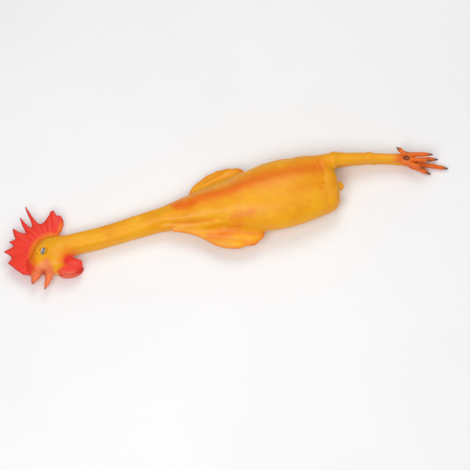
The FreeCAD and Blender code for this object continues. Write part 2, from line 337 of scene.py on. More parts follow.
def head_distance(p):
    """Ellipsoids for skull, muzzle, cheeks and brows that melt together, less
    one for each eye socket, and with the upper beak."""
    skull = ball(p, SKULL, SKULL_HALF)
    muzzle = ball(p, MUZZLE, MUZZLE_HALF, MUZZLE_TURN)
    shape = smooth_min(skull, muzzle, 9)
    for lift in (1, -1):
        socket = ball(p, EYES[lift] + (0, 0, lift * 1.0), SOCKET_HALF, EYE_TURN)
        brow = ball(p, EYES[lift] + (-4.6, 4.6, -lift * 1.0), BROW_HALF, BROW_TURN)
        cheek = ball(p, SKULL + (2.0, -13.0, lift * 9.0), CHEEK_HALF, CHEEK_TURN)
        shape = smooth_min(shape, cheek, 6)
        shape = smooth_min(shape, brow, 3)
        shape = smooth_max(shape, -socket, 1.6)
    return smooth_min(shape, upper_beak(p), 2.6)


# Both beaks run along chains of places from the head's pivot, and are
# thinner upright by BEAK_FLAT.
BEAK_TOP = [HEAD + (*place, 0.4) for place in ((-47, -27), (-50, -36.5), (-54.5, -43), (-56.8, -46.8))]
BEAK_LOW = [HEAD + (*place, 0.4) for place in ((-29, -32), (-32, -42), (-37, -51.5), (-41, -58))]
BEAK_TOP_RADII = (9.0, 6.6, 3.4, 1.1)
BEAK_LOW_RADII = (6.6, 5.4, 3.4, 1.1)
BEAK_FLAT = 1.15
NOSTRILS = [HEAD + (-48.5, -33.5, 0.4 + lift) for lift in (6.6, -6.6)]


def horn(p, points, radii):
    """A chain of rods, each radius running into the next."""
    shape = np.full(len(p), 1e9)
    for a, b, ra, rb in zip(points[:-1], points[1:], radii[:-1], radii[1:]):
        shape = smooth_min(shape, rod(p, a, b, ra, rb, BEAK_FLAT), 1.0)
    return shape


def upper_beak(p):
    """The upper horn, less an ellipsoid for each nostril."""
    beak = horn(p, BEAK_TOP, BEAK_TOP_RADII)
    nostril = np.minimum(*[ball(p, place, NOSTRIL_HALF, NOSTRIL_TURN) for place in NOSTRILS])
    return smooth_max(beak, -nostril, 0.8)


def jaw_distance(p):
    """The lower horn."""
    return horn(p, BEAK_LOW, BEAK_LOW_RADII)


# The comb's outline in plan, from the head's pivot.
COMB = HEAD[:2] + np.array([
    (-5.6, 18.9), (0, 24), (4.6, 32), (5.2, 38), (3.8, 44.5), (1, 47.4), (-2.5, 47.8), (-4.2, 50),
    (-5, 56), (-7.5, 57.6), (-10.5, 56), (-15, 50), (-21, 43.5), (-26.5, 40.3), (-29.5, 40.6), (-33, 45),
    (-37.5, 54), (-41, 63), (-43.8, 71), (-45, 70), (-43.6, 60), (-41.6, 50), (-40.6, 41), (-41.2, 38),
    (-43.5, 38.4), (-47.5, 43.5), (-51, 49.5), (-54.3, 56), (-55.5, 55), (-55, 47), (-53.3, 39),
    (-51.6, 32), (-52.5, 30), (-57, 32), (-62, 36.2), (-67.5, 41.6), (-69, 40.6), (-69.2, 34), (-68, 28),
    (-67, 25.6), (-70, 24.4), (-76.8, 22.8), (-77.4, 21.6), (-74, 18.5), (-72.5, 15.8), (-75, 13.6),
    (-80, 12), (-86.7, 10.2), (-87.2, 8.6), (-83, 4.5), (-79.2, 0.5), (-78.5, -2.7), (-81, -5.5),
    (-85, -7.6), (-85, -9.2), (-80, -15.5), (-75, -22), (-67.5, -30.1), (-56.3, -33.6), (-47, -27),
    (-24, -11),
])


COMB_RIBS = 34          # ribs in a full turn round the skull


def comb_distance(p):
    """A slab as thick as 1 less an exponential of the way in from its edge,
    thinner at the tips, with ribs that fan out from the skull."""
    flat = outline(p, COMB)
    from_skull = np.linalg.norm(p[:, :2] - SKULL[:2], axis=1)
    inside = 1 - np.exp(np.minimum(flat, 0) / 4.0)
    half = 1.0 + inside * (3.0 - 1.4 * step(from_skull, 30, 60))
    turn = np.arctan2(p[:, 1] - SKULL[1], p[:, 0] - SKULL[0])
    half += 0.18 * np.sin(turn * COMB_RIBS) * step(from_skull, 28, 36)
    return slab(flat, p[:, 2] - SKULL[2], half, 1.0) * 0.9


def wattle_distance(p, side):
    """A large ellipsoid for the lobe and a small one for its root."""
    lift = 1 if side == "left" else -1
    centre = centre_mm("wattle_" + side)
    rise = 5.0 if side == "left" else 0.4
    lobe = ball(p, centre + (0.5, rise, 0), (17.6, 8.4 + rise * 0.55, 4.0), 6)
    root = ball(p, centre + (-11, 3.5, -lift * 0.5), (8.5, 7.0, 3.8), 20)
    return smooth_min(lobe, root, 3)


# ---- wings

# The wings' outlines in plan, from their hinges' places.
WING = {
    "left": np.array([
        (-76, 14.4), (-62, 10.7), (-48, 5), (-34, -4.8), (-20, -17.5), (-8, -25), (4, -29.5), (16, -31.5),
        (25, -29), (31, -31), (40, -30), (45, -25), (51, -23), (55, -14), (56, 4), (30, 18), (-30, 28),
        (-72, 26),
    ]),
    "right": np.array([
        (-46, -10), (-43, -1), (-34, 7), (-22, 13), (-13, 18.5), (-6, 18.5), (2, 21.5), (10, 20.5),
        (18, 21.5), (26, 19), (32, 19.5), (40, 14), (48, 2), (48, -14), (0, -20),
    ]),
}
WING = {side: rounded(corners + pivot("wing_%s_flap" % side)[:2]) for side, corners in WING.items()}


FEATHERS = 46           # feathers in a full turn round the fan's centre
FAN_BACK, FAN_ASIDE = 62.0, 10.0


def feathers(p, side):
    """From -1 in a groove to 1 on a feather: the sine of the angle round the
    fan's centre, which lies ahead of the wing and beside it."""
    middle = pivot("wing_%s_flap" % side)
    sign = -1 if side == "left" else 1
    across = (p[:, 1] - middle[1]) * sign + FAN_ASIDE
    return np.sin(np.arctan2(across, p[:, 0] - middle[0] + FAN_BACK) * FEATHERS)


def wing_distance(p, side):
    """A slab as thick as 1 less an exponential of the way in from its
    scalloped edge, with feather grooves and a gentle wave along it."""
    middle = pivot("wing_%s_flap" % side)
    flat = outline(p, WING[side])
    inside = 1 - np.exp(np.minimum(flat, 0) / 11.0)
    half = 1.4 + 6.0 * inside * step(p[:, 0] - middle[0], -80, -50)
    groove = feathers(p, side) * step(p[:, 0] - middle[0], -50, -10)
    half += 0.7 * groove * inside
    droop = 1.2 * np.sin((p[:, 0] - middle[0]) / 17)
    return slab(flat, p[:, 2] - middle[2] - droop, half, 1.3) * 0.9


# ---- legs and feet

HAUNCHES = {"left": np.array([58.0, 34.0, 36.0]), "right": np.array([58.0, 36.0, 20.0])}
HOCK_HALF = (7.7, 7.2, 6.8)
PALM_HALF = (9.6, 9.4, 4.3)
VENT_HALF = (4.5, 3.4, 4.4)


def leg_distance(p, side):
    """Rods from haunch to hip, hock, ankle and palm that melt together, with
    a knob at the hock and a flat ellipsoid for the palm."""
    hip, hock, ankle = LEGS[side]
    palm = PALMS[side]
    haunch = HAUNCHES[side]
    back = hip - (hock - hip) * 0.19
    shape = rod(p, haunch, back, 15.0, 9.4)
    shape = smooth_min(shape, rod(p, back, hip, 9.2, 8.4), 3)
    shape = smooth_min(shape, rod(p, hip, hock, 8.3, 6.9, 1.0, 0.5), 3)
    shape = smooth_min(shape, ball(p, hock, HOCK_HALF), 3)
    shape = smooth_min(shape, rod(p, hock, ankle, 6.7, 6.0), 3)
    shape = smooth_min(shape, rod(p, ankle, palm, 5.8, 5.0), 3)
    return smooth_min(shape, ball(p, palm, PALM_HALF), 2.5)


def vent_distance(p, side):
    """An ellipsoid in the sole, its long axis the way the foot points."""
    ankle, palm = LEGS[side][2], PALMS[side]
    turn = math.degrees(math.atan2(palm[1] - ankle[1], palm[0] - ankle[0]))
    return ball(p, palm + (0, 0, VENT_HALF[2]), VENT_HALF, turn)


def toe_distance(p, side, toe):
    """Two rods with a knuckle between them and a hooked claw."""
    root, tip = TOE_ENDS[side, toe]
    way = unit(tip - root)
    length = np.linalg.norm(tip - root)
    knuckle = root + way * length * 0.45 + (0, 0, 0.7)
    last = tip - way * CLAW_LENGTH
    shape = smooth_min(rod(p, root - way * 3, knuckle, 3.4, 3.1), rod(p, knuckle, last, 3.2, 2.7), 1.5)
    hook = tip - (0, 0, 0.8)
    return smooth_min(shape, rod(p, last - way, hook, 2.7, 1.15), 1.2)


# ---- the whole casting

def foot_nodes(side):
    """The palm, toes and claws of one foot."""
    return ["palm_" + side] + ["%s_%s_%s" % (kind, side, toe) for kind in ("toe", "claw") for toe in TOES]


# Each limb's distance function, its CAD nodes and how widely it melts into
# the core.
LIMBS = {
    "jaw": (jaw_distance, ["lower_beak"], 2.6),
    "comb": (comb_distance, ["comb"], 3.5),
}
for _side in SIDES:
    LIMBS["wattle_" + _side] = (partial(wattle_distance, side=_side), ["wattle_" + _side], 2.4)
    LIMBS["wing_" + _side] = (partial(wing_distance, side=_side), ["wing_" + _side], 6.0)
    LIMBS["leg_" + _side] = (
        partial(leg_distance, side=_side),
        ["drumstick_" + _side, "shank_" + _side, "torso"] + foot_nodes(_side), 8.0)
BOX_MARGIN = 10.0
LEG_START = 40.0        # the legs' shapes are worked out only behind this x
BOXES = {}


def limb_mask(p, name):
    """Which points are in the box round a limb's nodes, or round the nodes
    that the name joins with plus signs."""
    if name not in BOXES:
        nodes = LIMBS[name][1] if name in LIMBS else name.split("+")
        lows, highs = zip(*[box_mm(node) for node in nodes])
        BOXES[name] = np.min(lows, axis=0) - BOX_MARGIN, np.max(highs, axis=0) + BOX_MARGIN
    low, high = BOXES[name]
    if name.startswith("leg_"):
        low = np.array([LEG_START, low[1], low[2]])
    return np.all((p > low) & (p < high), axis=1)


def core_distance(p):
    """Body, head and tail nub, melted together."""
    core = body_distance(p)
    head = limb_mask(p, "head_shell+upper_beak")
    core[head] = smooth_min(core[head], head_distance(p[head]), 9)
    tail = limb_mask(p, "tail_nub")
    nub = ball(p[tail], centre_mm("tail_nub") - (1.5, 0, 0), (6.5, 7, 6))
    core[tail] = smooth_min(core[tail], nub, 4)
    return core


def casting(p, apart=False):
    """Distance to the whole skin, or a dict of each part's own distance. Each
    limb melts into the core, the toes into the legs, and the relief and the
    flat that the object rests on come last."""
    core = core_distance(p)
    whole = core.copy()
    parts = {"core": core}
    for name, (distance, _, k) in LIMBS.items():
        mask = limb_mask(p, name)
        part = np.full(len(p), FAR)
        if mask.any():
            q = p[mask]
            limb = distance(q)
            part[mask] = limb
            joined = smooth_min(core[mask], limb, k)
            if name.startswith("leg_"):
                side = name[4:]
                for toe in TOES:
                    reach = toe_distance(q, side, toe)
                    joined = np.minimum(joined, smooth_min(limb, reach, 1.6))
                    if apart:
                        own = np.full(len(p), FAR)
                        own[mask] = reach
                        parts["toe_%s_%s" % (side, toe)] = own
                joined = smooth_max(joined, -vent_distance(q, side), 0.8)
            whole[mask] = np.minimum(whole[mask], joined)
        elif apart and name.startswith("leg_"):
            for toe in TOES:
                parts["toe_%s_%s" % (name[4:], toe)] = part
        parts[name] = part
    if apart:
        return parts
    near = np.abs(whole) < 6
    whole[near] -= relief(p[near])
    return smooth_max(whole, -p[:, 2], 0.6)


def at_body(along, across):
    """A point on the top of the torso, from its plan place past the neck's base."""
    x = np.array([NECK[0][0] + along])
    y, z, wide, high = (value[0] for value in body_frame(x))
    share = np.clip((NECK[0][1] + across - y) / wide, -0.98, 0.98)
    return np.array([x[0], NECK[0][1] + across, z + high * math.sqrt(1 - share ** 2)])


# Creases: a chain of plan places past the neck's base, depth and width.
CREASES = [
    ([(22, 6), (30, 4), (38, 7), (46, 6)], 1.3, 3.4),
    ([(30, -4), (38, 1), (44, 8)], 0.9, 3.4),
    ([(-10, -11), (16, -15), (40, -20), (64, -24), (84, -25)], 1.5, 4.0),
    ([(52, -30), (72, -33), (96, -34)], 0.9, 3.2),
    ([(70, -40), (88, -40), (104, -38)], 0.8, 3.0),
    ([(40, 24), (56, 30), (76, 33), (96, 33)], 1.0, 4.0),
    ([(58, -4), (78, -8), (98, -9)], 0.5, 5.0),
    ([(235, 30), (238, 20), (239, 10), (237, -2)], 0.7, 3.4),
    ([(228, 30), (231, 22), (232, 13)], 0.6, 2.8),
    ([(226, -12), (231, -13), (235, -13)], 1.2, 2.2),
    ([(205, 18), (222, 15), (238, 16)], 0.5, 4.0),
    ([(-40, 2), (-20, 6), (2, 8), (18, 8)], 0.6, 4.2),
    ([(-120, -4), (-90, -2), (-60, 2), (-34, 3)], 0.5, 4.0),
    ([(-100, -14), (-70, -12), (-44, -8)], 0.5, 4.0),
    ([(100, 30), (116, 24), (136, 22)], 0.5, 5.0),
]
CREASES = [(np.array([at_body(*place) for place in places]), depth, width)
           for places, depth, width in CREASES]


def relief(p):
    """How far the skin stands out: seeded lumps, sine folds that run along
    the neck and body, and bell-curve grooves with low banks for creases."""
    out = 0.35 * ripple(p, 34, 5) + 0.16 * ripple(p, 11, 6)
    along = p[:, 0] - NECK[0][0]
    neck = step(along, 40, -20) * step(along, -150, -130)
    y, z, _, _ = body_frame(p[:, 0])
    turn = np.arctan2(p[:, 2] - z, p[:, 1] - y)
    out += neck * 0.45 * np.sin(5 * turn + 0.03 * along + 1.5 * np.sin(along / 31))
    body = step(along, 20, 70) * step(along, 250, 215)
    out += body * 0.3 * np.sin(7 * turn + 0.8 * np.sin(along / 40))
    for line, depth, width in CREASES:
        low, high = line.min(0) - 4 * width, line.max(0) + 4 * width
        mask = np.all((p > low) & (p < high), axis=1)
        if mask.any():
            q = p[mask]
            d = polyline(q, line) / width
            ends = np.minimum(np.linalg.norm(q - line[0], axis=1), np.linalg.norm(q - line[-1], axis=1))
            out[mask] -= depth * step(ends, 0, 11) * (np.exp(-d ** 2) - 0.2 * np.exp(-((d - 1.7) ** 2)))
    return out


# ---- the skin as one net

LATTICE_MARGIN = 5.0
LATTICE_FLOOR = -3.37   # keeps the lattice's points off the flat underside
LATTICE_SLAB = 24


def lattice(spacing):
    """Distances on a lattice round the object, found a slab at a time."""
    low = np.array(CAD_BOX[0]) / MM - LATTICE_MARGIN
    high = np.array(CAD_BOX[1]) / MM + LATTICE_MARGIN
    low[2] = LATTICE_FLOOR
    count = np.ceil((high - low) / spacing).astype(int) + 1
    axes = [low[a] + np.arange(count[a]) * spacing for a in range(3)]
    values = np.empty(count, np.float32)
    for start in range(0, count[0], LATTICE_SLAB):
        end = start + LATTICE_SLAB
        grid = np.meshgrid(axes[0][start:end], axes[1], axes[2], indexing="ij")
        p = np.stack([g.ravel() for g in grid], 1)
        values[start:end] = casting(p).reshape(grid[0].shape)
    return values, low


def net(values, low, spacing):
    """Surface nets: one point in every lattice cell that the skin crosses, at
    the mean of the places where it crosses the cell's edges, and one face
    for every lattice edge that it crosses."""
    inside = values < 0
    corner_sets = [(i, j, k) for i in (0, 1) for j in (0, 1) for k in (0, 1)]
    size = np.array(values.shape) - 1
    total = sum(inside[i:i + size[0], j:j + size[1], k:k + size[2]].astype(np.int8)
                for i, j, k in corner_sets)
    cells = np.argwhere((total > 0) & (total < 8))
    index = np.full(size, -1, np.int64)
    index[tuple(cells.T)] = np.arange(len(cells))
    place = np.zeros((len(cells), 3))
    weight = np.zeros(len(cells))
    for a in corner_sets:
        for axis in range(3):
            if a[axis]:
                continue
            b = tuple(1 if n == axis else a[n] for n in range(3))
            va = values[tuple((cells + a).T)]
            vb = values[tuple((cells + b).T)]
            crossed = (va < 0) != (vb < 0)
            t = va[crossed] / (va[crossed] - vb[crossed])
            spot = cells[crossed] + np.array(a, float)
            spot[:, axis] += t
            place[crossed] += spot
            weight[crossed] += 1
    place /= weight[:, None]
    faces = []
    for axis in range(3):
        u, v = (axis + 1) % 3, (axis + 2) % 3
        first = np.take(inside, range(inside.shape[axis] - 1), axis=axis)
        second = np.take(inside, range(1, inside.shape[axis]), axis=axis)
        edges = np.argwhere(first != second)
        leaving = first[tuple(edges.T)]
        keep = (edges[:, u] > 0) & (edges[:, v] > 0) & (edges[:, u] < size[u]) & (edges[:, v] < size[v])
        edges, leaving = edges[keep], leaving[keep]
        ring = []
        for du, dv in ((1, 1), (0, 1), (0, 0), (1, 0)):
            cell = edges.copy()
            cell[:, u] -= du
            cell[:, v] -= dv
            ring.append(index[tuple(cell.T)])
        quad = np.stack(ring, 1)
        quad[~leaving] = quad[~leaving][:, ::-1]
        faces.append(quad)
    return low + place * spacing, np.concatenate(faces)


def slope_of(p, h=0.3):
    """Value and gradient of the skin's distance, from four nearby points."""
    legs = np.array([(1, -1, -1), (-1, -1, 1), (-1, 1, -1), (1, 1, 1)], float)
    found = [casting(p + h * leg) for leg in legs]
    slope = sum(value[:, None] * leg for value, leg in zip(found, legs)) / (4 * h)
    return sum(found) / 4, slope


def cast_skin(spacing):
    """The net's points, moved onto the skin by two Newton steps, its faces
    and its normals, which are the unit gradient of the distance."""
    values, low = lattice(spacing)
    points, faces = net(values, low, spacing)
    for _ in range(2):
        value, slope = slope_of(points)
        size = np.sum(slope ** 2, axis=1) + 1e-6
        move = -value[:, None] * slope / size[:, None]
        reach = np.linalg.norm(move, axis=1)
        points += move * np.minimum(1, 0.6 * spacing / (reach + 1e-9))[:, None]
    _, slope = slope_of(points)
    return points, faces, slope / (np.linalg.norm(slope, axis=1)[:, None] + 1e-9)


# ---- pieces of the skin

# Planes across the neck, past its base, where one piece ends and the next
# begins, and the stretch of each piece that bends.
NECK_SEAMS = (16.0, -23.0, -71.0, -120.5, -148.0)
NECK_PIECES = (
    ("neck_base_skin", "torso", "neck_lower", 14.0, -14.0),
    ("neck_lift_skin", "neck_lower", "neck_middle", -32.0, -60.0),
    ("neck_twist_skin", "neck_middle", "neck_upper", -81.0, -111.0),
    ("nape_skin", "neck_upper", "head", -123.0, -145.5),
)
# Where each leg joint's bend starts and ends, along the leg from its pivot.
LEG_ZONES = {"hip": (-7.0, 9.0), "hock": (-7.0, 7.0), "ankle": (-6.0, 6.0)}
HIP_SEAM = -9.0
# How far past its seam a jaw or toe, the comb, and a wattle or wing bends.
LIMB_BEND, COMB_BEND, FLAP_BEND = 5.0, 9.0, 6.0
# How much nearer than its neighbour a limb or a toe must be to own a face.
LIMB_LEAD, TOE_LEAD = 0.4, 0.2


def leg_places(side):
    """Where the leg's pieces begin, as (point, direction) planes."""
    hip, hock, ankle = LEGS[side]
    down, on = unit(hock - hip), unit(ankle - hock)
    return [(hip + down * HIP_SEAM, down), ((hip + hock) / 2, down), ((hock + ankle) / 2, on)]


def label_faces(centres):
    """The piece that each face belongs to: the part whose own shape is the
    nearest, the neck and legs cut across at planes."""
    parts = casting(centres, apart=True)
    names = ["torso_skin"] + [piece[0] for piece in NECK_PIECES] + ["head_skin"]
    along = centres[:, 0] - NECK[0][0]
    label = np.zeros(len(centres), int)
    for number, seam in enumerate(NECK_SEAMS):
        label[along < seam] = number + 1
    head = limb_mask(centres, "head_shell+upper_beak")
    away = head_distance(centres[head]) < body_distance(centres[head]) - 2.0
    ahead = np.zeros(len(centres), bool)
    ahead[head] = away
    label[ahead & (along < NECK_SEAMS[3])] = 5
    nearest = parts["core"] - LIMB_LEAD
    for name in LIMBS:
        own = parts[name]
        closer = own < nearest
        nearest = np.minimum(nearest, own)
        if not name.startswith("leg_"):
            label[closer] = len(names)
            names.append(name + "_skin")
            continue
        side = name[4:]
        for piece, (place, way) in zip(("drumstick", "shank", "foot"), leg_places(side)):
            label[closer & ((centres - place) @ way > 0)] = len(names)
            names.append("%s_%s_skin" % (piece, side))
        for toe in TOES:
            reach = parts["toe_%s_%s" % (side, toe)]
            root, tip = TOE_ENDS[side, toe]
            closer = (reach < nearest - TOE_LEAD) & ((centres - root) @ unit(tip - root) > -1.0)
            label[closer] = len(names)
            names.append("toe_%s_%s_skin" % (side, toe))
            nearest = np.where(closer, reach, nearest)
    return names, label


def bends():
    """For each piece: the joint's two bodies, the way it bends along and,
    where it is not measured from a neighbour's seam, its start and end."""
    table = {}
    for name, parent, child, start, end in NECK_PIECES:
        table[name] = (parent, child, NECK[0], np.array([1.0, 0, 0]), start, end)
    table["jaw_skin"] = ("head", "jaw", BEAK_LOW[0], unit(BEAK_LOW[2] - BEAK_LOW[0]), None, LIMB_BEND)
    table["comb_skin"] = ("head", "comb", SKULL, np.array([-0.70, 0.714, 0]), None, COMB_BEND)
    for side in SIDES:
        swing = hinge_axis("wattle_%s_swing" % side)
        way = np.cross(swing, (0, 0, 1.0))
        lobe = centre_mm("wattle_" + side)
        place = pivot("wattle_%s_swing" % side)
        way *= math.copysign(1, (lobe - place) @ way)
        table["wattle_%s_skin" % side] = ("head", "wattle_" + side, place, way, None, FLAP_BEND)
        place = pivot("wing_%s_flap" % side)
        way = np.cross(hinge_axis("wing_%s_flap" % side), (0, 0, 1.0))
        way *= math.copysign(1, (centre_mm("wing_" + side) - place) @ way)
        table["wing_%s_skin" % side] = ("torso", "wing_" + side, place, way, None, FLAP_BEND)
        hip, hock, ankle = LEGS[side]
        down, on = unit(hock - hip), unit(ankle - hock)
        shin = unit(down + on)
        tread = unit(PALMS[side] - ankle)
        for piece, pair, place, way, zone in (
                ("drumstick", ("torso", "drumstick"), hip, down, "hip"),
                ("shank", ("drumstick", "shank"), hock, shin, "hock"),
                ("foot", ("shank", "palm"), ankle, unit(on + tread), "ankle")):
            bodies = [name if name == "torso" else "%s_%s" % (name, side) for name in pair]
            table["%s_%s_skin" % (piece, side)] = (*bodies, place, way, *LEG_ZONES[zone])
        for toe in TOES:
            root, tip = TOE_ENDS[side, toe]
            name = "%s_%s" % (side, toe)
            table["toe_%s_skin" % name] = (
                "palm_" + side, "toe_" + name, root, unit(tip - root), None, LIMB_BEND)
    return table


# The CAD nodes that each piece stands for.
REPLACED = {
    "torso_skin": ("torso", "tail_nub"), "neck_base_skin": ("neck_lower",),
    "neck_lift_skin": ("neck_middle",), "neck_twist_skin": ("neck_upper",),
    "head_skin": ("head_shell", "upper_beak"), "jaw_skin": ("lower_beak",), "comb_skin": ("comb",),
}
for _side in SIDES:
    for _piece, _node in (("wattle", "wattle"), ("wing", "wing"), ("drumstick", "drumstick"),
                          ("shank", "shank"), ("foot", "palm")):
        REPLACED["%s_%s_skin" % (_piece, _side)] = ("%s_%s" % (_node, _side),)
    for _toe in TOES:
        _name = "%s_%s" % (_side, _toe)
        REPLACED["toe_%s_skin" % _name] = ("toe_" + _name, "claw_" + _name)


# ---- airbrush masks and painted shade

# Strokes on the upper side: places past the neck's base, half width
# in millimetres and strength. Most are airbrushed orange, the longest being the stripe down the back; the
# ones marked below are painted shade in creases and hollows.
STRIPE_AND_SHADE_STROKES = [
    ([(22, 10), (30, 7), (40, 7), (48, 8)], 8.5, 1.0),
    ([(24, 10), (36, 7), (57, 11), (78, 11), (101, 11), (123, 16), (150, 17)], 11.0, 0.88),
    ([(101, 11), (123, 16), (150, 17), (191, 19), (221, 20), (232, 22)], 12.5, 0.74),
    # painted shade along the rump's crease
    ([(234, 32), (237, 20), (237, 8)], 3.2, 0.6),
    # painted shade in the rump's dimple
    ([(228, -13), (231, -13)], 2.2, 0.6),
    # painted shade in the hollow between the near wing and the body, in two patches
    ([(60, -45), (80, -45), (100, -41)], 9.0, 0.62),
    ([(96, -29), (112, -28), (127, -29)], 5.0, 0.5),
    ([(52, 36), (71, 43), (96, 46)], 3.6, 0.4),
    ([(185, -10), (207, -9), (230, -7)], 6.0, 0.2),
    # painted shade along the crease at the near wing's root
    ([(14, -14), (40, -19), (70, -24)], 2.4, 0.35),
]
# The salmon paint round the mouth, in plan from the head's pivot.
LIPS = HEAD[:2] + np.array([
    (-29, -20), (-34, -21), (-46, -28), (-58, -34), (-66, -50), (-38, -75), (-20, -60), (-23, -40),
    (-26, -28),
])


def stripe_and_shade_mask(p):
    """Each stroke's strength times a bell curve of the distance from its line
    in plan, on the upper side only, with an uneven width: the airbrushed orange and the strokes of painted
    shade."""
    total = np.zeros(len(p))
    upper = step(p[:, 2], 18, 32)
    wander = 1.0 + 0.35 * ripple(p, 14, 21)
    for places, width, strength in STRIPE_AND_SHADE_STROKES:
        line = np.array([at_body(*place) for place in places])
        d = polyline(p * (1, 1, 0), line * (1, 1, 0)) / (width * wander)
        total = np.maximum(total, strength * np.exp(-np.minimum(d, 6) ** 2) * upper)
    return total


# Where each colour starts and where it is full, along its own distance.
FADES = {
    "crown": (29, 38), "crown_fade": (19, 31), "ahead": (9, 3), "front": (-20, -28), "lobe": (13, 5),
    "cheek": (15, 9), "cheek_fade": (25, 12), "wattle": (2.6, 0.2), "lips": (4.0, -3.0),
    "beak": (1.6, 0.2), "beak_fade": (9, 0), "beak_tip": (6.5, 1.0), "mouth": (7.0, 2.5),
    "comb_edge": (-2.4, -0.2), "comb_skin": (1.5, 0.0), "comb_out": (34, 42), "wattle_skin": (1.5, 0.0),
    "claw": (-CLAW_LENGTH + 0.5, -CLAW_LENGTH + 4.5), "vent": (0.8, 0.2), "foot": (-12, 5),
    "shin": (-30, 40),
}
CHEEK_PLACE, LOBE_PLACE, MOUTH_CORNER = (5.0, -29.5), (3.5, 25), HEAD + (-38.0, -33.5, 0.4)


def faded(name, distance):
    """How full a colour is at a distance."""
    return step(distance, *FADES[name])


def head_paint(points, parts, uneven):
    """Red that thins to orange away from the comb and wattles, salmon on the beaks and lips, dark paint on
    the beaks' tips, deep red along the comb's outer rim, deep red in the mouth, partly red paint and partly
    painted shade, and deep red on the lower wattle as painted shade."""
    comb = parts["comb"]
    wattle = np.minimum(parts["wattle_left"], parts["wattle_right"])
    head = limb_mask(points, "head_shell+upper_beak+comb+wattle_left+wattle_right+lower_beak")
    beak = np.full(len(points), FAR)
    beak[head] = np.minimum(upper_beak(points[head]), parts["jaw"][head])
    plan = (points - HEAD)[:, :2]
    crown = np.linalg.norm((points - SKULL)[:, :2], axis=1) + uneven
    lobe = np.linalg.norm(plan - LOBE_PLACE, axis=1) + uneven
    cheek = np.linalg.norm(plan - CHEEK_PLACE, axis=1) + uneven
    ahead = np.maximum(faded("ahead", comb), faded("front", points[:, 0] - SKULL[0])) * head
    lips = faded("lips", outline(points, LIPS) + uneven) * head
    red = faded("crown", crown) * ahead * (1 - 0.85 * faded("lobe", lobe)) * (1 - lips)
    red = np.maximum(red, np.maximum(faded("cheek", cheek) * head, faded("wattle", wattle + uneven * 0.4)))
    fade = np.maximum(faded("crown_fade", crown) * ahead, faded("cheek_fade", cheek) * head)
    fade = np.maximum(fade, 0.7 * faded("beak_fade", beak + uneven * 0.5))
    # Deep red that grows inward from the mouth's corner: partly the mouth's red paint, partly painted shade
    # in the gape.
    mouth = np.zeros(len(points))
    inward = np.linalg.norm((points[head] - MOUTH_CORNER) * (1, 1, 0.45), axis=1)
    mouth[head] = faded("mouth", inward)
    edge = 0.6 * faded("comb_edge", outline(points, COMB)) * faded("comb_skin", comb)
    # The lower wattle, the one towards the floor, gets deep red as painted shade.
    lower = 0.55 * faded("wattle_skin", parts["wattle_right"])
    mouth = np.maximum(mouth, np.maximum(edge * faded("comb_out", crown), lower))
    tip = np.minimum(*[np.linalg.norm(points - ends[-1], axis=1) for ends in (BEAK_TOP, BEAK_LOW)])
    return {
        "red": red, "fade": fade, "beak": np.maximum(faded("beak", beak + 0.2 * uneven), lips),
        "mouth": mouth, "tip": faded("beak_tip", tip + uneven * 0.3),
    }


def leg_paint(points, parts, uneven):
    """Orange-red feet that thin up the shanks, dark claws, and painted shade darkening the vents' hollows."""
    foot, shin, dark = np.zeros((3, len(points)))
    for side in SIDES:
        hip, hock, ankle = LEGS[side]
        near = limb_mask(points, "leg_" + side) & (parts["leg_" + side] < 6)
        for toe in TOES:
            own = parts["toe_%s_%s" % (side, toe)] < 1.5
            root, tip = TOE_ENDS[side, toe]
            past = (points - tip) @ unit(tip - root)
            dark = np.maximum(dark, own * faded("claw", past + 0.4 * uneven))
            foot[own] = 1.0
        # The vent's hollow is darkened as painted shade.
        dark = np.maximum(dark, near * 0.8 * faded("vent", vent_distance(points, side)))
        past = (points - ankle) @ unit(PALMS[side] - ankle)
        foot = np.maximum(foot, near * faded("foot", past + uneven))
        past = (points - hip) @ unit(hock - hip)
        shin = np.maximum(shin, near * faded("shin", past + 2 * uneven))
    return {"foot": foot, "shin": shin, "claw": dark}


def paint(points):
    """How much of each airbrushed colour and of the painted shade every point of the skin carries."""
    parts = casting(points, apart=True)
    uneven = 1.6 * ripple(points, 9, 22)
    wattle = np.minimum(parts["wattle_left"], parts["wattle_right"])
    wings = np.minimum(parts["wing_left"], parts["wing_right"])
    return {
        **head_paint(points, parts, uneven), **leg_paint(points, parts, uneven),
        # The orange layer: airbrushed stripe and wing edges, and painted shade in creases, hollows and wing
        # grooves.
        "stroke": np.maximum(stripe_and_shade_mask(points), wing_orange_and_shade_mask(points, wings)),
        "rim": wattle_rim(points) * faded("wattle_skin", wattle),
    }


def wattle_rim(points):
    """A paler line along each wattle's lower edge, where the paint is thin."""
    total = np.zeros(len(points))
    for side in SIDES:
        q = points - centre_mm("wattle_" + side)
        total = np.maximum(total, step(q[:, 1] + 0.05 * q[:, 0], -2.6, -5.0) * step(q[:, 0], 15, 6))
    return total


def wing_orange_and_shade_mask(points, wings):
    """Orange along the wings' free edges, and orange in their feather grooves as painted shade."""
    total = np.zeros(len(points))
    for side in SIDES:
        near = limb_mask(points, "wing_" + side)
        q = points[near]
        # Orange in the feather grooves is painted shade.
        groove = 0.5 - 0.5 * feathers(q, side)
        edge = step(outline(q, WING[side]), -5, 0) * 0.45
        back = step(q[:, 0] - pivot("wing_%s_flap" % side)[0], -20, 35)
        total[near] = (edge + 0.45 * groove * back) * step(wings[near], 4, 0.5)
    return total


# ---- materials

def linear(code):
    """An sRGB hex colour as a linear colour with alpha."""
    parts = [int(code[i:i + 2], 16) / 255 for i in (1, 3, 5)]
    return (*[c / 12.92 if c <= 0.04045 else ((c + 0.055) / 1.055) ** 2.4 for c in parts], 1.0)


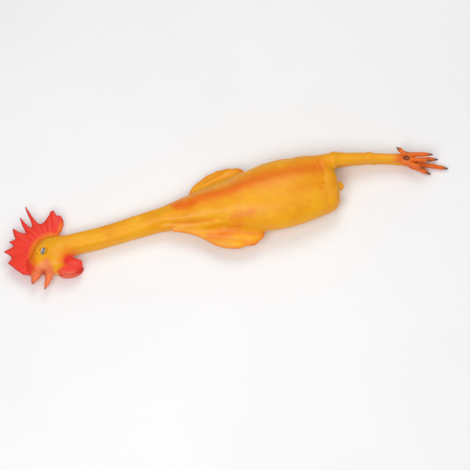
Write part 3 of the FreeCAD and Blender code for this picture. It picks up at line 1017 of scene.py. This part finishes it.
class Shader:
    """A material being built, with one way to add a node."""

    def __init__(self, name):
        self.material = bpy.data.materials.new(name)
        self.material.use_nodes = True
        self.tree = self.material.node_tree
        self.shader = self.tree.nodes["Principled BSDF"]

    def add(self, kind, links=None, **settings):
        """A node with its settings, its inputs set to values or linked."""
        node = self.tree.nodes.new("ShaderNode" + kind)
        for key, value in settings.items():
            setattr(node, key, value)
        self.feed(node, links or {})
        return node

    def feed(self, node, links):
        for key, value in links.items():
            if isinstance(value, bpy.types.NodeSocket):
                self.tree.links.new(value, node.inputs[key])
            else:
                node.inputs[key].default_value = value

    def noise(self, scale, detail=3.0, rough=0.55):
        place = self.add("TexCoord").outputs["Object"]
        return self.add("TexNoise", {"Vector": place, "Scale": scale, "Detail": detail, "Roughness": rough})

    def ramp(self, value, start, end, low=0.0, high=1.0):
        links = {"Value": value, "From Min": start, "From Max": end, "To Min": low, "To Max": high}
        return self.add("MapRange", links, clamp=True).outputs["Result"]

    def mix(self, factor, a, b):
        node = self.add("Mix", data_type="RGBA")
        self.feed(node, {0: factor, 6: a, 7: b})
        return node.outputs[2]

    def mask(self, name):
        return self.add("Attribute", attribute_name=name, attribute_type="GEOMETRY").outputs["Fac"]

    def times(self, a, b):
        return self.add("Math", {0: a, 1: b}, operation="MULTIPLY", use_clamp=True).outputs[0]


def latex_material(colours):
    """Natural rubber latex, slush-moulded in a plaster mould and airbrushed.

    The eye sees a warm, slightly see-through yellow with a soft satin sheen,
    paint that fades out over the yellow, painted shade in creases, hollows, the mouth and the vents, a fine
    pebbled texture from the plaster, and dust and handling that dull the sheen in patches."""
    s = Shader("airbrushed_slush_moulded_latex")
    cloud = s.noise(28.0, 4.0).outputs["Fac"]
    grain = s.noise(900.0, 2.0).outputs["Fac"]
    base = s.mix(s.ramp(cloud, 0.35, 0.68), colours["body_deep"], colours["body"])
    blotch = s.noise(75.0, 4.0).outputs["Fac"]
    base = s.mix(s.ramp(blotch, 0.52, 0.75, 0.0, 0.35), base, colours["body_pale"])
    base = s.mix(s.times(s.mask("shin"), 0.55), base, colours["shin"])
    speckle = s.ramp(grain, 0.3, 0.7, 0.75, 1.0)
    # Layers of paint over the latex. The orange layer also carries painted shade in creases, hollows and wing
    # grooves; the deep red one painted shade in the mouth and on the lower wattle; the claw one painted shade
    # in the vents' hollows.
    layers = (
        ("stroke", colours["stroke"], 0.95), ("fade", colours["stroke"], 0.8), ("foot", colours["foot"], 0.9),
        ("beak", colours["beak"], 0.85), ("red", colours["comb"], 1.0), ("mouth", colours["comb_deep"], 0.8),
        ("rim", colours["beak"], 0.75), ("tip", colours["horn"], 0.7), ("claw", colours["claw"], 0.96),
    )
    for name, colour, strength in layers:
        factor = s.times(s.times(s.mask(name), strength), speckle)
        base = s.mix(factor, base, colour)
    worn = s.ramp(s.noise(140.0, 5.0, 0.7).outputs["Fac"], 0.6, 0.8, 0.0, 0.16)
    base = s.mix(worn, base, colours["body_pale"])
    s.feed(s.shader, {"Base Color": base, "Roughness": s.ramp(cloud, 0.3, 0.7, 0.36, 0.5)})
    fine = s.noise(420.0, 3.0).outputs["Fac"]
    wrinkle = s.noise(130.0, 2.0).outputs["Fac"]
    heights = s.add("Mix", {0: 0.45, 2: fine, 3: wrinkle}, data_type="FLOAT").outputs[0]
    bump = s.add("Bump", {"Height": heights, "Strength": 0.35, "Distance": 0.0009})
    s.feed(s.shader, {"Normal": bump.outputs["Normal"]})
    s.feed(s.shader, {
        "Subsurface Weight": 0.12, "Subsurface Radius": (0.004, 0.002, 0.0008), "Subsurface Scale": 1.0,
        "Specular IOR Level": 0.32, "Coat Weight": 0.06, "Coat Roughness": 0.28})
    return s.material


def eye_material(colours):
    """Glossy enamel brushed over the moulded eye by hand: white, a thin
    blue-grey rim and a black slit, each with a slightly uneven edge."""
    s = Shader("hand_painted_enamel_eye")
    wobble = s.noise(600.0, 2.0).outputs["Fac"]
    share = s.times(s.mask("eye_out"), s.ramp(wobble, 0.2, 0.8, 0.95, 1.05))
    base = s.mix(s.ramp(share, 0.66, 0.78), colours["eye"], colours["eye_rim"])
    base = s.mix(s.ramp(s.mask("eye_slit"), 0.9, 1.15), colours["pupil"], base)
    s.feed(s.shader, {"Base Color": base, "Roughness": 0.2, "Coat Weight": 0.5, "Coat Roughness": 0.08})
    return s.material


def table_material(colour):
    """A matt painted board, with a very faint unevenness."""
    s = Shader("matt_painted_board")
    cloud = s.noise(3.0, 3.0).outputs["Fac"]
    dim = tuple(c * 0.96 for c in colour[:3]) + (1.0,)
    base = s.mix(s.ramp(cloud, 0.3, 0.7), dim, colour)
    s.feed(s.shader, {"Base Color": base, "Roughness": 0.75})
    return s.material


# ---- meshes

def finish_mesh(mesh, masks, material):
    """A smooth object of a mesh, with its point masks and material."""
    for key, values in masks.items():
        layer = mesh.attributes.new(key, "FLOAT", "POINT")
        layer.data.foreach_set("value", values.astype(np.float32))
    mesh.polygons.foreach_set("use_smooth", np.ones(len(mesh.polygons), bool))
    mesh.materials.append(material)
    found = bpy.data.objects.new(mesh.name, mesh)
    bpy.context.scene.collection.objects.link(found)
    return found


def new_mesh(name, points, faces, normals, masks, material):
    """An object from points and quads in millimetres with point masks."""
    mesh = bpy.data.meshes.new(name)
    mesh.vertices.add(len(points))
    mesh.vertices.foreach_set("co", (points * MM).astype(np.float32).ravel())
    mesh.loops.add(faces.size)
    mesh.loops.foreach_set("vertex_index", faces.astype(np.int32).ravel())
    mesh.polygons.add(len(faces))
    mesh.polygons.foreach_set("loop_start", np.arange(0, faces.size, faces.shape[1], dtype=np.int32))
    mesh.update(calc_edges=True)
    mesh.validate()
    found = finish_mesh(mesh, masks, material)
    mesh.normals_split_custom_set_from_vertices(normals)
    return found


def attach(found, name, seam):
    """Make the torso's or the head's piece ride its body, and bake any other piece's place into its mesh."""
    if name == "torso_skin" or name == "head_skin":
        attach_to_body(found, name.split("_")[0])
    else:
        parent, child, place, way, start, end = bends()[name]
        if start is None:
            start = float(((seam - place) @ way).max()) + 0.4 if len(seam) else 0.0
            end = start + end
        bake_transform(found)
    if name in REPLACED:
        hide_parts(*REPLACED[name])


LABEL_ROUNDS = 4


def build_skin(settings):
    """One piece of the skin for each label, with the points it shares with
    its neighbours in both, so that no gap opens at rest."""
    spacing = settings.spacing / MM
    points, faces, normals = cast_skin(spacing)
    masks = paint(points)
    names, labels = label_faces(points[faces].mean(axis=1))
    labels = tidy_labels(labels, faces, len(points), len(names))
    material = latex_material(settings.palette())
    owners = [np.unique(faces[labels == number]) for number in range(len(names))]
    for number, name in enumerate(names):
        own = owners[number]
        if not len(own):
            raise RuntimeError("no skin for " + name)
        index = np.full(len(points), -1)
        index[own] = np.arange(len(own))
        piece = new_mesh(name, points[own], index[faces[labels == number]], normals[own],
                         {key: values[own] for key, values in masks.items()}, material)
        attach(piece, name, parent_seam(name, own, owners, names, points))


def parent_seam(name, own, owners, names, points):
    """The points that a limb shares with the piece it hangs from."""
    if name.startswith("toe_"):
        parent = "foot_%s_skin" % name.split("_")[1]
    elif name.startswith("wing_"):
        parent = "torso_skin"
    else:
        parent = "head_skin"
    return points[np.intersect1d(own, owners[names.index(parent)])]


def tidy_labels(labels, faces, points, kinds):
    """Give each face the commonest label round its corners, to smooth seams."""
    for _ in range(LABEL_ROUNDS):
        votes = np.zeros((points, kinds), np.int16)
        for corner in range(4):
            np.add.at(votes, (faces[:, corner], labels), 1)
        around = sum(votes[faces[:, corner]] for corner in range(4))
        labels = around.argmax(axis=1)
    return labels


EYE_HALF = (5.6, 3.2, 3.0)
EYE_SUNK = 0.6          # how far below the bead's middle the dome starts
EYE_POINT = 0.35        # how much narrower the dome is at its two ends
EYE_ROWS, EYE_SPINS = 14, 48
SLIT_HALF = (4.6, 1.25)


def build_eye(name, lift, material):
    """Half an ellipsoid on a grid of climb and spin, drawn in to a point at
    both ends like an almond. Its masks are the share of the way from the
    middle to the edge and from the slit's middle to the slit's edge."""
    long, wide, high = EYE_HALF
    climb = np.linspace(0.0, math.pi / 2, EYE_ROWS + 1)[:-1]
    spin = np.linspace(0, 2 * math.pi, EYE_SPINS, endpoint=False)
    climb, spin = [grid.ravel() for grid in np.meshgrid(climb, spin, indexing="ij")]
    x = long * np.cos(climb) * np.cos(spin)
    y = wide * np.cos(climb) * np.sin(spin) * (1 - EYE_POINT * (np.abs(x) / long) ** 2)
    c, s = math.cos(math.radians(EYE_TURN)), math.sin(math.radians(EYE_TURN))
    dome = np.stack([x * c - y * s, x * s + y * c, lift * (high * np.sin(climb) - EYE_SUNK)], 1)
    points = np.concatenate([dome, [[0, 0, lift * (high - EYE_SUNK)]]]) + centre_mm(name)
    masks = {
        "eye_out": np.append(np.cos(climb), 0.0),
        "eye_slit": np.append(np.hypot(x / SLIT_HALF[0], (y + 0.4) / SLIT_HALF[1]), 0.6),
    }
    ring = np.arange(EYE_SPINS)
    ahead = np.roll(ring, -1)
    faces = []
    for row in range(0, (EYE_ROWS - 1) * EYE_SPINS, EYE_SPINS):
        faces += (np.stack([ring, ahead, ahead + EYE_SPINS, ring + EYE_SPINS], 1) + row).tolist()
    last = (EYE_ROWS - 1) * EYE_SPINS
    faces += np.stack([ring + last, ahead + last, np.full(EYE_SPINS, len(points) - 1)], 1).tolist()
    if lift < 0:
        faces = [face[::-1] for face in faces]
    mesh = bpy.data.meshes.new(name + "_paint")
    mesh.from_pydata((points * MM).tolist(), [], faces)
    mesh.update()
    eye = finish_mesh(mesh, masks, material)
    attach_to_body(eye, "head")
    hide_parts(name)


# ---- settings, operators, panel

def colour_property(label, text, code):
    return FloatVectorProperty(name=label, description=text, subtype="COLOR", size=4,
                               min=0.0, max=1.0, default=linear(code))


class ChickenSettings(bpy.types.PropertyGroup):
    spacing: FloatProperty(name="Mesh step", description="Distance between neighbouring skin points",
                           default=0.00105, min=0.0008, unit="LENGTH")
    body: colour_property("Latex", "The casting's yellow latex", "#F4AC00")
    body_deep: colour_property("Deep latex", "Latex where it is thicker", "#EC9A00")
    body_pale: colour_property("Pale latex", "Latex that is rubbed or dusty", "#F6BC1E")
    shin: colour_property("Legs", "Airbrushed yellow-orange of the legs", "#EFA40E")
    # This orange is the airbrushed stripe and fades and also painted shade in creases, hollows and wing
    # grooves.
    stroke: colour_property("Orange", "Airbrushed orange shading", "#EA5A00")
    foot: colour_property("Feet", "Airbrushed orange-red of the feet", "#E0500E")
    beak: colour_property("Beak", "Salmon paint of the beak", "#EE7350")
    comb: colour_property("Comb", "Red paint of the comb and wattles", "#EA1E22")
    # This deep red is also painted shade in the mouth and on the lower wattle.
    comb_deep: colour_property("Deep red", "Red paint gathered in the folds", "#A3161A")
    horn: colour_property("Beak tip", "Grey-brown paint on the beak's tip", "#8A4A48")
    # This dark grey also darkens the vents' hollows as painted shade.
    claw: colour_property("Claws", "Dark grey paint of the claws", "#574238")
    eye: colour_property("Eye", "White enamel of the eye", "#F3F4F2")
    eye_rim: colour_property("Eye rim", "Blue-grey line round the eye", "#6E7C8C")
    pupil: colour_property("Pupil", "Black slit of the eye", "#0B0B0D")
    table: colour_property("Table", "Pale board under the object", "#F6F6F6")

    def palette(self):
        """Every colour by its name."""
        names = [name for name in ChickenSettings.__annotations__ if name != "spacing"]
        return {name: tuple(getattr(self, name)) for name in names}


class AddSkin(bpy.types.Operator):
    """Add the latex skin, in pieces that meet at seams"""
    bl_idname = "chicken.add_skin"
    bl_label = "Add skin"

    def execute(self, context):
        build_skin(context.scene.chicken)
        return {"FINISHED"}


class AddEyes(bpy.types.Operator):
    """Add the two painted eyes"""
    bl_idname = "chicken.add_eyes"
    bl_label = "Add eyes"

    def execute(self, context):
        material = eye_material(context.scene.chicken.palette())
        build_eye("eye_left", 1, material)
        build_eye("eye_right", -1, material)
        return {"FINISHED"}


class AddStage(bpy.types.Operator):
    """Add the table, the camera and the lights"""
    bl_idname = "chicken.add_stage"
    bl_label = "Add stage"

    def execute(self, context):
        add_table(context.scene.chicken.palette()["table"])
        add_camera(context.scene)
        add_lights(context.scene)
        return {"FINISHED"}


TABLE_REACH = 3.0


def add_table(colour):
    """A flat square under the object."""
    reach = TABLE_REACH
    mesh = bpy.data.meshes.new("table")
    corners = [(-reach, -reach, 0), (reach, -reach, 0), (reach, reach, 0), (-reach, reach, 0)]
    mesh.from_pydata(corners, [], [(0, 1, 2, 3)])
    mesh.materials.append(table_material(colour))
    table = bpy.data.objects.new("table", mesh)
    bpy.context.scene.collection.objects.link(table)


CAMERA_AZIMUTH, CAMERA_ELEVATION = -12.0, 70.0
CAMERA_DISTANCE, LENS = 5.64, 300.0
CAMERA_TARGET = (-0.0559, -0.0343, 0.0)


def direction(azimuth, elevation):
    """The unit vector towards a place at this azimuth from -Y and elevation."""
    a, e = math.radians(azimuth), math.radians(elevation)
    return np.array([math.sin(a) * math.cos(e), -math.cos(a) * math.cos(e), math.sin(e)])


def aim(found, place, target):
    """Stand an object at a place, looking at a target, its top upward."""
    back = unit(np.array(place) - target)
    across = unit(np.cross((0, 0, 1.0), back))
    up = np.cross(back, across)
    rows = [[across[i], up[i], back[i], place[i]] for i in range(3)]
    found.matrix_world = Matrix(rows + [[0, 0, 0, 1]])


def add_camera(scene):
    data = bpy.data.cameras.new("camera")
    data.lens = LENS
    camera = bpy.data.objects.new("camera", data)
    scene.collection.objects.link(camera)
    target = np.array(CAMERA_TARGET)
    aim(camera, target + direction(CAMERA_AZIMUTH, CAMERA_ELEVATION) * CAMERA_DISTANCE, target)
    scene.camera = camera


WORLD_STRENGTH = 0.34
# Each softbox: azimuth, elevation, distance and side in metres, watts.
SOFTBOXES = {
    "key": (-38, 58, 1.6, 0.9, 12), "fill": (60, 55, 1.8, 1.2, 4.5), "top": (170, 62, 1.7, 0.9, 8),
}


def add_lights(scene):
    world = bpy.data.worlds.new("studio")
    world.use_nodes = True
    background = world.node_tree.nodes["Background"]
    background.inputs["Color"].default_value = (1, 1, 1, 1)
    background.inputs["Strength"].default_value = WORLD_STRENGTH
    scene.world = world
    scene.view_settings.view_transform = "Standard"
    for name, (azimuth, elevation, distance, size, power) in SOFTBOXES.items():
        data = bpy.data.lights.new(name + "_softbox", "AREA")
        data.energy = power
        data.shape = "SQUARE"
        data.size = size
        light = bpy.data.objects.new(data.name, data)
        scene.collection.objects.link(light)
        aim(light, direction(azimuth, elevation) * distance, np.zeros(3))


class ChickenPanel(bpy.types.Panel):
    bl_idname = "VIEW3D_PT_rubber_chicken"
    bl_label = "Rubber chicken"
    bl_space_type = "VIEW_3D"
    bl_region_type = "UI"
    bl_category = "Rubber chicken"

    def draw(self, context):
        layout = self.layout
        for name in ChickenSettings.__annotations__:
            layout.prop(context.scene.chicken, name)
        for operator in (AddSkin, AddEyes, AddStage):
            layout.operator(operator.bl_idname)


CLASSES = (ChickenSettings, AddSkin, AddEyes, AddStage, ChickenPanel)


def register():
    for cls in CLASSES:
        bpy.utils.register_class(cls)
    bpy.types.Scene.chicken = PointerProperty(type=ChickenSettings)


def unregister():
    del bpy.types.Scene.chicken
    for cls in reversed(CLASSES):
        bpy.utils.unregister_class(cls)


def main():
    register()
    bpy.ops.chicken.add_skin()
    bpy.ops.chicken.add_eyes()
    bpy.ops.chicken.add_stage()


if __name__ == "__main__":
    main()
